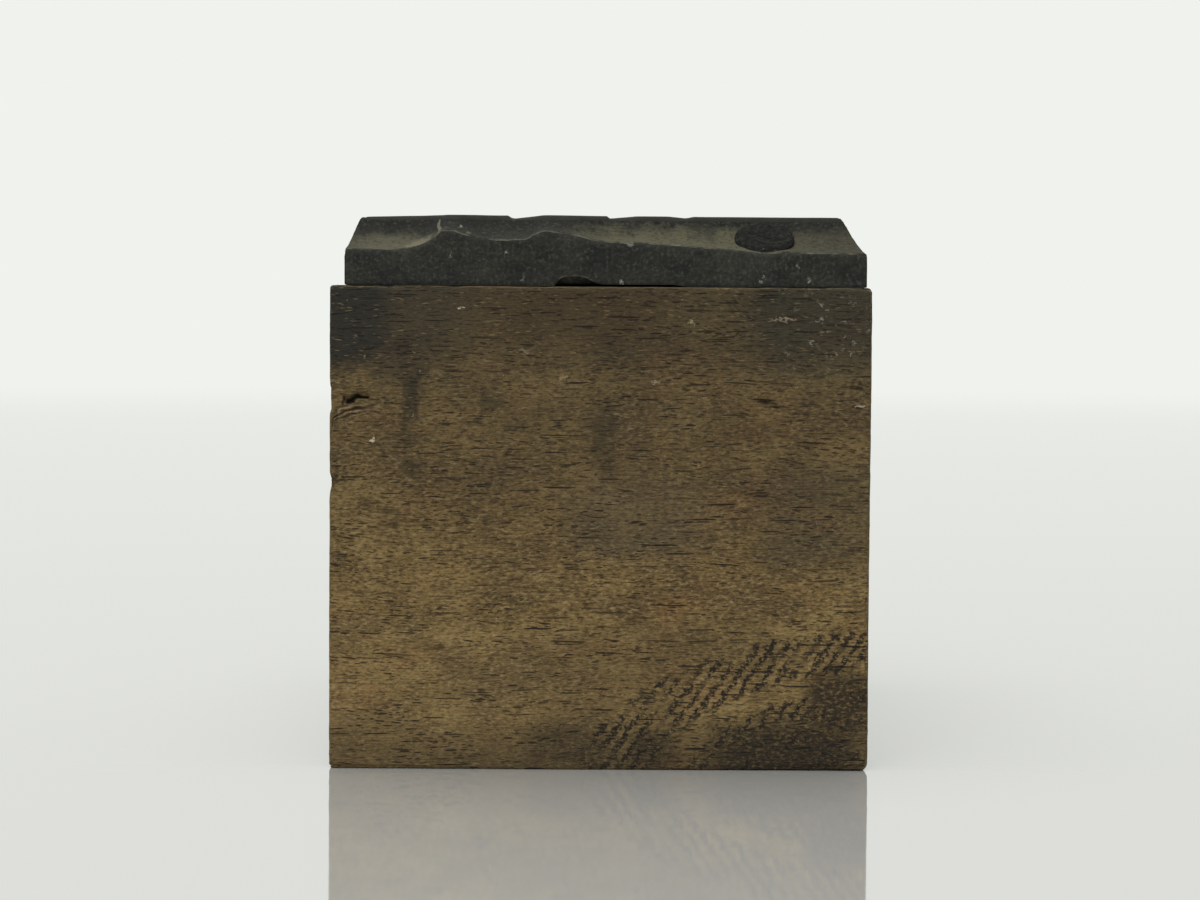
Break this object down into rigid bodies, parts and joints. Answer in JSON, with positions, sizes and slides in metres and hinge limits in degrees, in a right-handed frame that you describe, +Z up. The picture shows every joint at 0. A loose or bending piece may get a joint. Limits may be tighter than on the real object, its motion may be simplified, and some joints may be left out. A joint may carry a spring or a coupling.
{
  "type": "letterpress printing block",
  "caption": "Small relief printing plate with gouged shoulders, nailed on a wood block that brings it to type height.",
  "frame": {"origin": "middle of the wood block's underside, on the press bed", "axes": "+Z up to the printing face, -Y the long edge's side with the first nail on the right, +X to the right when it is seen from there"},
  "size_m": [0.0228, 0.03, 0.0233],
  "materials": {
    "wood": "bare, aged, ink stained",
    "lead_alloy": "dull cast lead alloy, oxidised, gouged",
    "copper_shell": "worn copper, stained with printing ink",
    "nail_iron": "blackened wire nail"
  },
  "bodies": {
    "root": {"wood_block": "wood", "backing_metal": "lead_alloy", "printing_shell": "copper_shell", "nail_front": "nail_iron", "nail_back": "nail_iron"}
  },
  "joints": []
}
